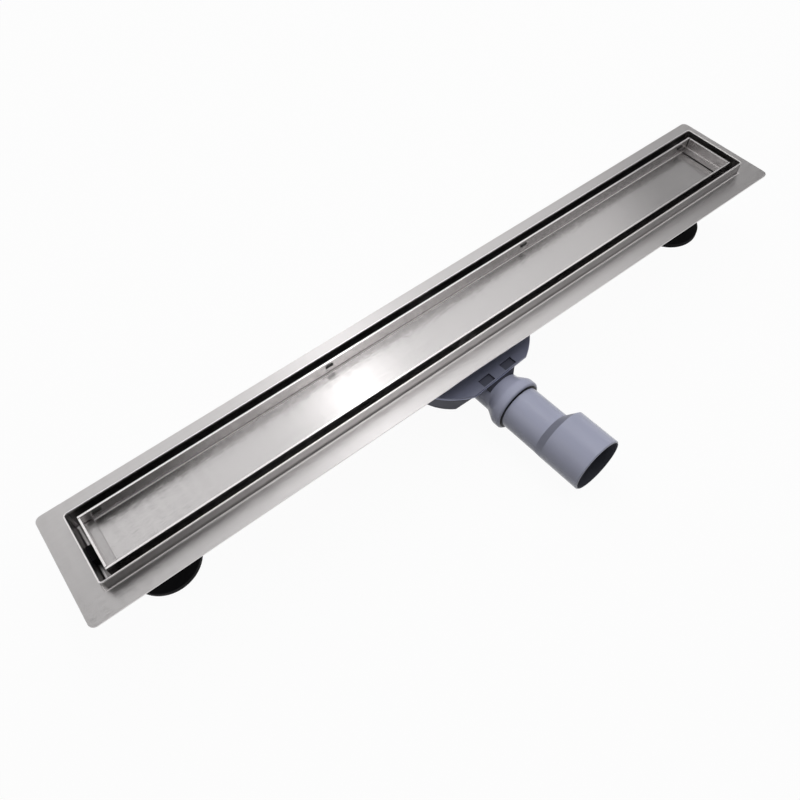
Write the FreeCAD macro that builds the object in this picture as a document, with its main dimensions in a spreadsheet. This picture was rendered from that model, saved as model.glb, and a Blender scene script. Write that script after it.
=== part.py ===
import FreeCAD, Part
import math
import os
import re
import Sketcher

# Linear shower drain: a folded steel channel with a raised frame and a tile tray, over a low plastic trap.
# Millimetres and degrees. The frame is centred on the channel, with X along it and the outlet towards -Y.
# Height zero is the top face of the flange, which is level with the floor's waterproof layer.

SIZES = {
    # Flange, frame and trough, which are one folded and welded sheet
    "flange_end": 20.0,
    "flange_side": 18.5,
    "flange_corner": 5.0,
    "channel_sheet": 1.2,
    "frame_length": 660.0,
    "frame_width": 65.0,
    "frame_height": 12.5,
    "frame_corner": 3.0,
    "frame_fold": 1.5,
    "rim_round": 0.35,
    "trough_end_depth": 9.0,
    "trough_mid_depth": 12.0,
    "trough_level_middle": 90.0,
    "trough_level_end": 7.0,
    "trough_fold": 1.5,
    "outlet_room": 1.5,
    # Place of the trap under the channel
    "outlet_shift": 3.0,
    "outlet_turn": 4.0,
    "outlet_across": 2.0,
    # Tile tray and its two end walls
    "tray_end_room": 6.8,
    "tray_side_room": 6.55,
    "tray_height": 13.9,
    "tray_drop": 2.2,
    "tray_sheet": 1.5,
    "tray_fold": 2.0,
    "slot_length": 7.0,
    "slot_height": 1.2,
    "slot_rise": 6.8,
    "slot_near": 105.0,
    "slot_inset": 13.0,
    "hood_depth": 0.9,
    "hood_height": 1.6,
    "hood_taper": 20.0,
    "end_sheet": 1.5,
    "end_foot": 7.5,
    "end_seat": 3.5,
    "end_lift": 0.8,
    "end_gap": 0.1,
    # What carries the tray in the trough
    "spacer_width": 13.0,
    "spacer_length": 30.0,
    "spacer_upstand": 2.4,
    "spacer_gap": 0.2,
    "support_place": 150.0,
    "support_width": 15.0,
    "support_span": 34.0,
    "support_foot": 6.0,
    "support_sheet": 1.2,
    # Clamp ring, gasket and screws round the outlet
    "ring_room": 1.8,
    "ring_band": 9.5,
    "ring_thickness": 3.0,
    "ring_bevel": 0.8,
    "screw_count": 4,
    "screw_inset": 4.0,
    "screw_diameter": 4.0,
    "screw_length": 16.0,
    "screw_head": 7.0,
    "screw_countersink": 90.0,
    "screw_play": 0.5,
    "drive_width": 0.9,
    "drive_length": 4.4,
    "drive_depth": 1.6,
    "gasket_margin": 2.5,
    "gasket_room": 2.0,
    "gasket_thickness": 1.8,
    # Trap lid
    "lid_radius": 67.0,
    "lid_front": 60.0,
    "lid_back": 57.0,
    "lid_thickness": 3.0,
    "lid_round": 0.6,
    "pocket_width": 12.5,
    "pocket_length": 7.5,
    "pocket_depth": 2.0,
    "pocket_spacing": 24.5,
    "pocket_margin": 1.0,
    "throat_room": 0.5,
    "throat_wall": 2.5,
    "throat_depth": 13.0,
    "ledge_width": 2.2,
    "ledge_height": 2.5,
    "boss_diameter": 8.0,
    "boss_floor": 1.5,
    # Trap bowl with its outlet socket
    "lid_overhang": 1.0,
    "bowl_height": 49.0,
    "bowl_taper": 21.0,
    "bowl_flat_taper": 24.0,
    "bowl_wall": 2.5,
    "bowl_round": 6.0,
    "outlet_depth": 42.0,
    "stub_diameter": 37.2,
    "stub_wall": 2.3,
    "housing_width": 27.5,
    "housing_depth": 14.0,
    "bore_reach": 10.0,
    "bell_start": 62.5,
    "bell_cone": 10.0,
    "bell_face": 80.2,
    "bell_wall": 4.0,
    "bell_shoulder": 7.0,
    "bell_round": 2.2,
    "socket_depth": 12.0,
    "socket_play": 0.15,
    "seal_thickness": 0.8,
    "seal_lip": 1.6,
    "seal_play": 0.05,
    # Adapter pipe
    "neck_diameter": 40.0,
    "neck_wall": 2.0,
    "neck_end": 117.5,
    "reducer_length": 7.0,
    "spigot_diameter": 50.0,
    "spigot_wall": 1.8,
    "spigot_end": 162.0,
    "spigot_bevel": 0.8,
    "neck_stop_gap": 1.0,
    # Water seal: cup, dip tube, O-ring and strainer
    "cup_collar_height": 10.0,
    "cup_collar_play": 0.6,
    "cup_play": 0.5,
    "cup_wall": 1.6,
    "cup_depth": 43.0,
    "window_count": 6,
    "window_width": 9.0,
    "window_height": 7.0,
    "window_drop": 3.0,
    "o_ring_section": 2.6,
    "o_ring_play": 0.05,
    "o_ring_slack": 0.4,
    "tube_room": 5.2,
    "tube_wall": 1.6,
    "tube_rim_play": 1.9,
    "tube_funnel": 8.0,
    "tube_floor_gap": 4.4,
    "strainer_sheet": 0.8,
    "strainer_rim": 1.8,
    "strainer_play": 0.8,
    "strainer_depth": 6.0,
    "strainer_hole": 3.5,
    "strainer_hole_inset": 8.0,
    "strainer_inner_holes": 5,
    "strainer_outer_holes": 10,
    # Adjustable feet
    "foot_inset": 38.0,
    "foot_depth": 69.0,
    "foot_diameter": 60.0,
    "foot_edge": 5.0,
    "foot_height": 15.0,
    "foot_hub": 20.0,
    "foot_shoulder": 30.0,
    "foot_round": 1.5,
    "rod_diameter": 8.0,
    "rod_play": 0.1,
    "rod_cover": 2.0,
    "rod_point": 0.8,
    "rod_tip_gap": 0.6,
    "nut_flats": 13.0,
    "nut_height": 6.5,
    "nut_bevel": 0.8,
}

# Lengths and levels that several pieces share
FLANGE_LENGTH = "(frame_length + 2 * flange_end)"
FLANGE_WIDTH = "(frame_width + 2 * flange_side)"
TROUGH_LENGTH = "(frame_length - 2 * channel_sheet)"
TROUGH_WIDTH = "(frame_width - 2 * channel_sheet)"
TROUGH_UNDER = "(-trough_mid_depth - channel_sheet)"
FALL_RUN = f"({TROUGH_LENGTH} / 2 - trough_level_end - trough_level_middle / 2)"
FALL = f"((trough_mid_depth - trough_end_depth) / {FALL_RUN})"
TRAY_LENGTH = f"({TROUGH_LENGTH} - 2 * tray_end_room)"
TRAY_WIDTH = f"({TROUGH_WIDTH} - 2 * tray_side_room)"
TRAY_FLOOR = "(tray_sheet - tray_drop)"
TRAY_INSIDE = f"({TRAY_WIDTH} - 2 * tray_sheet)"
SLOT_FAR = f"({TRAY_LENGTH} / 2 - slot_inset)"
RING_OUTER = f"({TROUGH_WIDTH} - 2 * ring_room)"
RING_BORE = f"({RING_OUTER} - 2 * ring_band)"
SCREW_CIRCLE = f"({RING_OUTER} - 2 * screw_inset)"
SCREW_ANGLE = "(180 / screw_count)"
THROAT_BORE = f"({RING_BORE} + 2 * throat_room)"
LEDGE_BORE = f"({THROAT_BORE} - 2 * ledge_width)"
LID_TOP = "(-trough_mid_depth - channel_sheet - gasket_thickness)"
LID_UNDER = f"({LID_TOP} - lid_thickness)"
LEDGE = f"({LID_TOP} - throat_depth)"
BOWL_BASE = f"({LID_UNDER} - bowl_height)"
MOUTH_RADIUS = "(lid_radius - lid_overhang)"
MOUTH_FRONT = "(lid_front - lid_overhang)"
MOUTH_BACK = "(lid_back - lid_overhang)"
SOCKET_BORE = "(neck_diameter + 2 * socket_play)"
BELL_DIAMETER = f"({SOCKET_BORE} + 2 * bell_wall)"
SOCKET_STOP = "(bell_face - socket_depth)"
REDUCER_OFFSET = "(spigot_diameter / 2 - spigot_wall - neck_diameter / 2 + neck_wall)"
CUP_COLLAR = f"({THROAT_BORE} - 2 * cup_collar_play)"
CUP_DIAMETER = f"({LEDGE_BORE} - 2 * cup_play)"
CUP_BORE = f"({CUP_DIAMETER} - 2 * cup_wall)"
CUP_TOP = f"({LEDGE} + cup_collar_height)"
TUBE_DIAMETER = f"({CUP_BORE} - 2 * tube_room)"
O_RING_LEVEL = f"({LEDGE} + cup_collar_height / 2)"
SCREW_REACH = "(screw_length - ring_thickness - channel_sheet - gasket_thickness)"
FOOT_BASE = "(-foot_depth)"
FOOT_PLACE = "(frame_length / 2 - foot_inset)"
NUT_REACH = "(nut_flats / 2 / cos(30))"
FALL_AT_FOOT = f"({TROUGH_LENGTH} / 2 - trough_level_end - {FOOT_PLACE} + {NUT_REACH})"
SEAT_UNDER_FOOT = f"(-trough_end_depth - channel_sheet - {FALL} * {FALL_AT_FOOT})"
FALL_AT_SUPPORT = f"({TROUGH_LENGTH} / 2 - trough_level_end - support_place - support_width / 2)"

doc = FreeCAD.newDocument("linear_shower_drain")
sheet = doc.addObject("Spreadsheet::Sheet", "sizes")
for row, (name, value) in enumerate(SIZES.items(), start=1):
    sheet.set(f"A{row}", name)
    sheet.set(f"B{row}", str(value))
    sheet.setAlias(f"B{row}", name)
doc.recompute()
bodies = []


def linked(text):
    """An expression in which each size is a cell of the sheet."""
    return re.sub(r"[a-z][a-z_]+", lambda word: "sizes." + word[0] if word[0] in SIZES else word[0], text)


def number(text):
    """The value that an expression has now."""
    return float(sheet.evalExpression(linked(text)))


def bind(thing, name, text):
    """Tie a property to an expression of the sizes."""
    thing.setExpression(name, linked(text))


def new_body(name, shift="0", turn="0"):
    """A sub-part of its own, moved along the channel and turned about the vertical."""
    body = doc.addObject("PartDesign::Body", name)
    body.Label = name
    bind(body, "Placement", f"placement(vector({shift}; 0; 0); rotation(vector(0; 0; 1); {turn}))")
    bodies.append(body)
    return body


def trap_body(name):
    """A sub-part that is centred on the outlet hole and turned with the outlet."""
    return new_body(name, "outlet_shift", "outlet_turn")


def sketch_on(body, name, plane, out="0", up="0"):
    """A sketch on one of the body's own planes, out along its normal and up in the sketch."""
    drawing = body.newObject("Sketcher::SketchObject", name)
    support = [face for face in body.Origin.OriginFeatures if face.Role == plane][0]
    drawing.AttachmentSupport = [(support, "")]
    drawing.MapMode = "FlatFace"
    bind(drawing, "AttachmentOffset.Base.z", out)
    bind(drawing, "AttachmentOffset.Base.y", up)
    return drawing


def hold(drawing, line, end, across, up):
    """Keep one point of a sketch at the place that two expressions give."""
    for kind, text in (("DistanceX", across), ("DistanceY", up)):
        place = drawing.addConstraint(Sketcher.Constraint(kind, -1, 1, line, end, number(text)))
        bind(drawing, f"Constraints[{place}]", text)


def outline(drawing, corners):
    """A closed outline of straight lines through corners that are pairs of expressions."""
    spots = [FreeCAD.Vector(number(across), number(up), 0) for across, up in corners]
    first = drawing.GeometryCount
    for start, end in zip(spots, spots[1:] + spots[:1]):
        drawing.addGeometry(Part.LineSegment(start, end))
    for step, (across, up) in enumerate(corners):
        before = first + (step - 1) % len(corners)
        drawing.addConstraint(Sketcher.Constraint("Coincident", before, 2, first + step, 1))
        hold(drawing, first + step, 1, across, up)


def rectangle(drawing, length, width, across="0", up="0"):
    """A rectangle round a centre."""
    left = f"{across} - {length} / 2"
    right = f"{across} + {length} / 2"
    low = f"{up} - {width} / 2"
    high = f"{up} + {width} / 2"
    outline(drawing, [(left, low), (right, low), (right, high), (left, high)])


def circle(drawing, diameter, across="0", up="0"):
    """A circle round a centre."""
    centre = FreeCAD.Vector(number(across), number(up), 0)
    line = drawing.addGeometry(Part.Circle(centre, FreeCAD.Vector(0, 0, 1), number(diameter) / 2))
    hold(drawing, line, 3, across, up)
    place = drawing.addConstraint(Sketcher.Constraint("Diameter", line, number(diameter)))
    bind(drawing, f"Constraints[{place}]", diameter)


def circles_round(drawing, diameter, pitch_circle, count, first_angle="0", across="0"):
    """Equal circles spaced round a pitch circle."""
    for step in range(int(number(count))):
        angle = f"({first_angle} + {step} * 360 / {count})"
        circle(drawing, diameter, f"{across} + {pitch_circle} / 2 * cos({angle})",
               f"{pitch_circle} / 2 * sin({angle})")


def flat_sided(drawing, radius, front, back):
    """A round outline cut straight across in front and behind."""
    reach = number(radius)
    depth = (number(front), number(back))
    corner = [math.asin(cut / reach) for cut in depth]
    half = [reach * math.cos(angle) for angle in corner]
    ring = Part.Circle(FreeCAD.Vector(0, 0, 0), FreeCAD.Vector(0, 0, 1), reach)
    lines = [Part.ArcOfCircle(ring, -corner[0], corner[1]),
             Part.LineSegment(FreeCAD.Vector(half[1], depth[1], 0), FreeCAD.Vector(-half[1], depth[1], 0)),
             Part.ArcOfCircle(ring, math.pi - corner[1], math.pi + corner[0]),
             Part.LineSegment(FreeCAD.Vector(-half[0], -depth[0], 0), FreeCAD.Vector(half[0], -depth[0], 0))]
    for line in lines:
        drawing.addGeometry(line)
    for arc, straight in ((0, 1), (2, 3)):
        drawing.addConstraint(Sketcher.Constraint("Coincident", arc, 3, -1, 1))
        drawing.addConstraint(Sketcher.Constraint("Coincident", arc, 2, straight, 1))
        drawing.addConstraint(Sketcher.Constraint("Coincident", straight, 2, (arc + 2) % len(lines), 1))
        drawing.addConstraint(Sketcher.Constraint("Horizontal", straight))
    drawing.addConstraint(Sketcher.Constraint("Equal", 0, 2))
    size = drawing.addConstraint(Sketcher.Constraint("Radius", 0, reach))
    bind(drawing, f"Constraints[{size}]", radius)
    for straight, text in ((1, back), (3, f"-{front}")):
        place = drawing.addConstraint(Sketcher.Constraint("DistanceY", -1, 1, straight, 1, number(text)))
        bind(drawing, f"Constraints[{place}]", text)


def pad(body, name, drawing, length, both_ways=False, backwards=False):
    """A sketch raised to a length."""
    feature = body.newObject("PartDesign::Pad", name)
    feature.Profile = drawing
    feature.SideType = "Symmetric" if both_ways else "One side"
    feature.Reversed = backwards
    bind(feature, "Length", length)
    doc.recompute()
    return feature


def pocket(body, name, drawing, depth, both_ways=False, backwards=False):
    """A sketch cut to a depth."""
    feature = body.newObject("PartDesign::Pocket", name)
    feature.Profile = drawing
    feature.SideType = "Symmetric" if both_ways else "One side"
    feature.Reversed = backwards
    bind(feature, "Length", depth)
    doc.recompute()
    return feature


def turned(body, name, drawing, axis="V_Axis", cut=False):
    """A full turn of a sketch about one of its own axes, added or cut away."""
    feature = body.newObject("PartDesign::Groove" if cut else "PartDesign::Revolution", name)
    feature.Profile = drawing
    feature.ReferenceAxis = (drawing, [axis])
    feature.Angle = 360
    doc.recompute()
    return feature


def loft(body, name, drawings, cut=False):
    """A straight loft through sketches, added or cut away."""
    feature = body.newObject("PartDesign::SubtractiveLoft" if cut else "PartDesign::AdditiveLoft", name)
    feature.Profile = drawings[0]
    feature.Sections = drawings[1:]
    feature.Ruled = True
    doc.recompute()
    return feature


def spans(edge, across=None, along=None, up=None):
    """Whether an edge lies within the given ranges of X, Y and Z."""
    box = edge.BoundBox
    slack = 0.02
    ranges = ((across, box.XMin, box.XMax), (along, box.YMin, box.YMax), (up, box.ZMin, box.ZMax))
    return all(limit is None or (limit[0] - slack < low and high < limit[1] + slack)
               for limit, low, high in ranges)


def upright(edge):
    """Whether an edge stands straight up."""
    box = edge.BoundBox
    return box.XLength < 0.01 and box.YLength < 0.01


def at_corner(edge, length, width):
    """Whether an upright edge stands at a corner of a rectangle round the origin."""
    middle = edge.BoundBox.Center
    return abs(abs(middle.x) - length / 2) < 0.01 and abs(abs(middle.y) - width / 2) < 0.01


def edges_that(base, test):
    """The edges of a feature that pass a test, as a dress-up feature takes them."""
    return (base, [f"Edge{place}" for place, edge in enumerate(base.Shape.Edges, start=1) if test(edge)])


def fillet(body, name, base, test, radius):
    """Round the edges of a feature that pass a test."""
    feature = body.newObject("PartDesign::Fillet", name)
    feature.Base = edges_that(base, test)
    bind(feature, "Radius", radius)
    doc.recompute()
    return feature


def bevel(body, name, base, test, width):
    """Chamfer the edges of a feature that pass a test."""
    feature = body.newObject("PartDesign::Chamfer", name)
    feature.Base = edges_that(base, test)
    bind(feature, "Size", width)
    doc.recompute()
    return feature


def round_at(edge, radius, height):
    """Whether an edge is a level circle of a radius at a height."""
    box = edge.BoundBox
    return box.ZLength < 0.01 and abs(box.ZMin - height) < 0.01 and abs(box.XLength / 2 - radius) < 0.05


def round_on_pipe(edge, radius, place):
    """Whether an edge is a circle of a radius round the outlet, at a distance in front of the bowl."""
    box = edge.BoundBox
    return box.YLength < 0.01 and abs(box.YMin + place) < 0.01 and abs(box.XLength / 2 - radius) < 0.05


def make_channel():
    """Flange, raised frame and falling trough in one sheet."""
    body = new_body("channel_body")
    drawing = sketch_on(body, "tub_outline", "XY_Plane", TROUGH_UNDER)
    rectangle(drawing, "frame_length", "frame_width")
    tub = pad(body, "tub", drawing, f"frame_height - {TROUGH_UNDER}")
    length = number("frame_length")
    width = number("frame_width")
    tub = fillet(body, "tub_corners", tub, upright, "frame_corner")

    drawing = sketch_on(body, "flange_outline", "XY_Plane", "-channel_sheet")
    rectangle(drawing, FLANGE_LENGTH, FLANGE_WIDTH)
    flange = pad(body, "flange", drawing, "channel_sheet")
    whole = (number(FLANGE_LENGTH), number(FLANGE_WIDTH))
    flange = fillet(body, "flange_corners", flange, lambda edge: upright(edge) and at_corner(edge, *whole),
                    "flange_corner")
    base_line = ((-length / 2, length / 2), (-width / 2, width / 2), (0, 0))
    fold = fillet(body, "frame_fold_line", flange, lambda edge: spans(edge, *base_line), "frame_fold")

    drawing = sketch_on(body, "trough_outline", "XY_Plane", "frame_height")
    rectangle(drawing, TROUGH_LENGTH, TROUGH_WIDTH)
    trough = pocket(body, "trough", drawing, "frame_height + trough_end_depth")
    inside = (number(TROUGH_LENGTH), number(TROUGH_WIDTH))
    trough = fillet(body, "trough_corners", trough, lambda edge: upright(edge) and at_corner(edge, *inside),
                    "frame_corner - channel_sheet")

    level_end = f"({TROUGH_LENGTH} / 2 - trough_level_end)"
    level_middle = "(trough_level_middle / 2)"
    drawing = sketch_on(body, "floor_fall", "XZ_Plane")
    outline(drawing, [(f"-{level_end}", "-trough_end_depth"), (f"-{level_middle}", "-trough_mid_depth"),
                      (level_middle, "-trough_mid_depth"), (level_end, "-trough_end_depth")])
    floor = pocket(body, "floor", drawing, TROUGH_WIDTH, both_ways=True)

    drawing = sketch_on(body, "underside_fall", "XZ_Plane")
    beyond = "(frame_length / 2 + channel_sheet)"
    shallow = "(-trough_end_depth - channel_sheet)"
    below = f"({TROUGH_UNDER} - channel_sheet)"
    for side in ("-", ""):
        outline(drawing, [(f"{side}{beyond}", shallow), (f"{side}{level_end}", shallow),
                          (f"{side}{level_middle}", TROUGH_UNDER), (f"{side}{level_middle}", below),
                          (f"{side}{beyond}", below)])
    underside = pocket(body, "underside", drawing, "frame_width + 2 * channel_sheet", both_ways=True)
    floor_box = ((-inside[0] / 2, inside[0] / 2), (-inside[1] / 2, inside[1] / 2),
                 (number("-trough_mid_depth"), number("-trough_end_depth")))

    corner = number("frame_corner")

    def at_wall(edge, half_length, half_width):
        """Whether an edge runs along the foot of the trough's walls."""
        box = edge.BoundBox
        middle = box.Center
        far_out = abs(middle.y) > half_width - corner or abs(middle.x) > half_length - corner
        return far_out and box.ZLength < 0.02 + number(FALL) * box.XLength

    folds = fillet(body, "trough_folds", underside,
                   lambda edge: spans(edge, *floor_box) and at_wall(edge, inside[0] / 2, inside[1] / 2),
                   "trough_fold")
    outer_box = ((-length / 2, length / 2), (-width / 2, width / 2),
                 (number(TROUGH_UNDER), number(shallow)))
    folds = fillet(body, "trough_outer_folds", folds,
                   lambda edge: spans(edge, *outer_box) and at_wall(edge, length / 2, width / 2),
                   "trough_fold + channel_sheet")

    drawing = sketch_on(body, "outlet_outline", "XY_Plane")
    circle(drawing, f"({RING_BORE} + 2 * outlet_room)", "outlet_shift")
    circles_round(drawing, "screw_diameter + screw_play", SCREW_CIRCLE, "screw_count",
                  f"(outlet_turn + {SCREW_ANGLE})", "outlet_shift")
    outlet = pocket(body, "outlet", drawing, "trough_mid_depth + 2 * channel_sheet")

    top = number("frame_height")
    fillet(body, "rim_rounds", outlet, lambda edge: spans(edge, up=(top, top)), "rim_round")


def make_tray():
    """Folded tray for the tile, with lanced slots in both long walls."""
    body = new_body("tile_tray")
    under = "(-tray_drop)"
    rim = "(tray_height - tray_drop)"
    half = f"({TRAY_WIDTH} / 2)"
    width = number(TRAY_WIDTH)
    drawing = sketch_on(body, "tray_section", "YZ_Plane")
    outline(drawing, [(f"-{half}", rim), (f"-{half}", under), (half, under), (half, rim),
                      (f"{half} - tray_sheet", rim), (f"{half} - tray_sheet", TRAY_FLOOR),
                      (f"-{half} + tray_sheet", TRAY_FLOOR), (f"-{half} + tray_sheet", rim)])
    tray = pad(body, "tray", drawing, TRAY_LENGTH, both_ways=True)
    low = number(under)
    tray = fillet(body, "tray_folds", tray,
                  lambda edge: spans(edge, up=(low, low)) and edge.BoundBox.XLength > width, "tray_fold")
    floor = number(TRAY_FLOOR)
    fillet(body, "tray_inner_folds", tray,
           lambda edge: spans(edge, up=(floor, floor)) and edge.BoundBox.XLength > width,
           "tray_fold - tray_sheet")
    drawing = sketch_on(body, "slot_outlines", "XZ_Plane")
    level = f"({TRAY_FLOOR} + slot_rise)"
    for place in ("slot_near", SLOT_FAR):
        for side in ("-", ""):
            rectangle(drawing, "slot_length", "slot_height", f"{side}{place}", level)
    pocket(body, "slots", drawing, f"{TRAY_WIDTH} + 2 * tray_sheet", both_ways=True)
    hood = f"({level} + slot_height / 2 + hood_height / 2)"
    inner = f"({half} - tray_sheet)"
    for wall, out, backwards in (("front", inner, True), ("back", f"-{inner}", False)):
        drawing = sketch_on(body, f"{wall}_hood_outlines", "XZ_Plane", out)
        for place in ("slot_near", SLOT_FAR):
            for side in ("-", ""):
                rectangle(drawing, "slot_length", "hood_height", f"{side}{place}", hood)
        feature = pad(body, f"{wall}_hoods", drawing, "hood_depth", backwards=backwards)
        bind(feature, "TaperAngle", "-hood_taper")
        doc.recompute()


def make_tray_end(name, side):
    """End wall of the tray, with a foot that is lifted clear of the floor along its inner edge."""
    body = new_body(name)
    end = f"({side}{TRAY_LENGTH} / 2)"
    inward = "-" if side == "" else "+"
    rim = "(tray_height - tray_drop)"
    drawing = sketch_on(body, "end_section", "XZ_Plane")
    wall = f"{end} {inward} end_sheet"
    foot = f"{end} {inward} end_foot"
    seat = f"{end} {inward} end_seat"
    under = f"{TRAY_FLOOR} + end_lift"
    outline(drawing, [(end, TRAY_FLOOR), (end, rim), (wall, rim), (wall, f"{under} + end_sheet"),
                      (foot, f"{under} + end_sheet"), (foot, under), (seat, under), (seat, TRAY_FLOOR)])
    feature = pad(body, "end_wall", drawing, f"{TRAY_INSIDE} - 2 * (tray_fold - tray_sheet + end_gap)",
                  both_ways=True)
    floor = number(TRAY_FLOOR)
    reach = number(end)
    feature = fillet(body, "end_fold", feature,
                     lambda edge: spans(edge, (reach, reach), None, (floor, floor)), "tray_fold")
    bend = (number(wall), number(f"{under} + end_sheet"))
    fillet(body, "end_inner_fold", feature,
           lambda edge: spans(edge, (bend[0], bend[0]), None, (bend[1], bend[1])), "tray_fold - end_sheet")


def make_spacer(name, side):
    """Soft block that carries one end of the tray and keeps it off the frame."""
    body = new_body(name)
    inward = "-" if side == "" else "+"
    wall = f"({side}{TROUGH_LENGTH} / 2 {inward} spacer_gap)"
    outward = "+" if side == "" else "-"
    tray = f"({side}{TRAY_LENGTH} / 2 {outward} spacer_gap)"
    inner = f"({wall} {inward} spacer_length)"
    drawing = sketch_on(body, "spacer_section", "XZ_Plane")
    outline(drawing, [(f"{wall} {inward} trough_fold", "-trough_end_depth"),
                      (wall, "trough_fold - trough_end_depth"),
                      (wall, "spacer_upstand - tray_drop"), (tray, "spacer_upstand - tray_drop"),
                      (tray, "-tray_drop"), (inner, "-tray_drop"), (inner, "-trough_end_depth")])
    pad(body, "spacer", drawing, "spacer_width", both_ways=True)


def make_support(name, side):
    """Hat-shaped strip between the trough's floor and the middle of the tray."""
    body = new_body(name, f"{side}support_place")
    top = "(-tray_drop)"
    floor = f"(-trough_end_depth - {FALL} * {FALL_AT_SUPPORT})"
    half = "(support_span / 2)"
    foot = f"({half} + support_foot)"
    drawing = sketch_on(body, "support_section", "YZ_Plane")
    outline(drawing, [(f"-{foot}", floor), (f"-{half} + support_sheet", floor),
                      (f"-{half} + support_sheet", f"{top} - support_sheet"),
                      (f"{half} - support_sheet", f"{top} - support_sheet"),
                      (f"{half} - support_sheet", floor), (foot, floor), (foot, f"{floor} + support_sheet"),
                      (half, f"{floor} + support_sheet"), (half, top), (f"-{half}", top),
                      (f"-{half}", f"{floor} + support_sheet"), (f"-{foot}", f"{floor} + support_sheet")])
    pad(body, "support", drawing, "support_width", both_ways=True)


def make_clamp_ring():
    """Steel ring in the trough, with countersunk holes for the clamp screws."""
    body = trap_body("clamp_ring")
    drawing = sketch_on(body, "ring_outline", "XY_Plane", "-trough_mid_depth")
    circle(drawing, RING_OUTER)
    circle(drawing, RING_BORE)
    ring = pad(body, "ring", drawing, "ring_thickness")
    top = number("ring_thickness - trough_mid_depth")
    bore = number(f"{RING_BORE} / 2")
    bevel(body, "ring_bevel_line", ring, lambda edge: round_at(edge, bore, top), "ring_bevel")
    drawing = sketch_on(body, "screw_places", "XY_Plane", "ring_thickness - trough_mid_depth")
    circles_round(drawing, "screw_diameter", SCREW_CIRCLE, "screw_count", SCREW_ANGLE)
    doc.recompute()
    holes = body.newObject("PartDesign::Hole", "screw_holes")
    holes.Profile = drawing
    doc.recompute()
    holes.ThreadType = "None"
    holes.DepthType = "ThroughAll"
    holes.HoleCutType = "Countersink"
    holes.HoleCutCustomValues = True
    bind(holes, "HoleCutCountersinkAngle", "screw_countersink")
    bind(holes, "Diameter", "screw_diameter + screw_play")
    bind(holes, "HoleCutDiameter", "screw_head + screw_play")
    doc.recompute()


def make_screw(step):
    """One countersunk clamp screw with a cross drive."""
    body = doc.addObject("PartDesign::Body", f"clamp_screw_{step}")
    angle = f"(outlet_turn + {SCREW_ANGLE} + {step} * 360 / screw_count)"
    reach = f"{SCREW_CIRCLE} / 2"
    place = f"vector(outlet_shift + {reach} * cos({angle}); {reach} * sin({angle}); 0)"
    bind(body, "Placement", f"placement({place}; rotation(vector(0; 0; 1); {angle}))")
    top = "(ring_thickness - trough_mid_depth - screw_play / 2)"
    drawing = sketch_on(body, "screw_section", "XZ_Plane")
    shank = "(screw_diameter / 2)"
    neck = f"({top} - (screw_head / 2 - {shank}) / tan(screw_countersink / 2))"
    tip = f"({top} - screw_length)"
    outline(drawing, [("0", top), ("screw_head / 2", top), (shank, neck), (shank, f"{tip} + {shank} / 2"),
                      (f"{shank} / 2", tip), ("0", tip)])
    turned(body, "screw", drawing)
    drawing = sketch_on(body, "drive_outline", "XY_Plane", top)
    arm = "(drive_length / 2)"
    slit = "(drive_width / 2)"
    outline(drawing, [(slit, slit), (arm, slit), (arm, f"-{slit}"), (slit, f"-{slit}"), (slit, f"-{arm}"),
                      (f"-{slit}", f"-{arm}"), (f"-{slit}", f"-{slit}"), (f"-{arm}", f"-{slit}"),
                      (f"-{arm}", slit), (f"-{slit}", slit), (f"-{slit}", arm), (slit, arm)])
    pocket(body, "drive", drawing, "drive_depth")
    return body


def make_clamp_screws():
    """The clamp screws as one group of separate solids."""
    group = doc.addObject("Part::Compound", "clamp_screws")
    group.Label = "clamp_screws"
    group.Links = [make_screw(step) for step in range(int(number("screw_count")))]
    doc.recompute()
    bodies.append(group)


def make_gasket():
    """Flat rubber gasket between the channel and the trap."""
    body = trap_body("outlet_gasket")
    drawing = sketch_on(body, "gasket_outline", "XY_Plane", LID_TOP)
    circle(drawing, f"({RING_OUTER} + 2 * gasket_margin)")
    circle(drawing, f"({RING_BORE} + 2 * gasket_room)")
    circles_round(drawing, "screw_diameter + screw_play", SCREW_CIRCLE, "screw_count", SCREW_ANGLE)
    pad(body, "gasket", drawing, "gasket_thickness")


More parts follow.
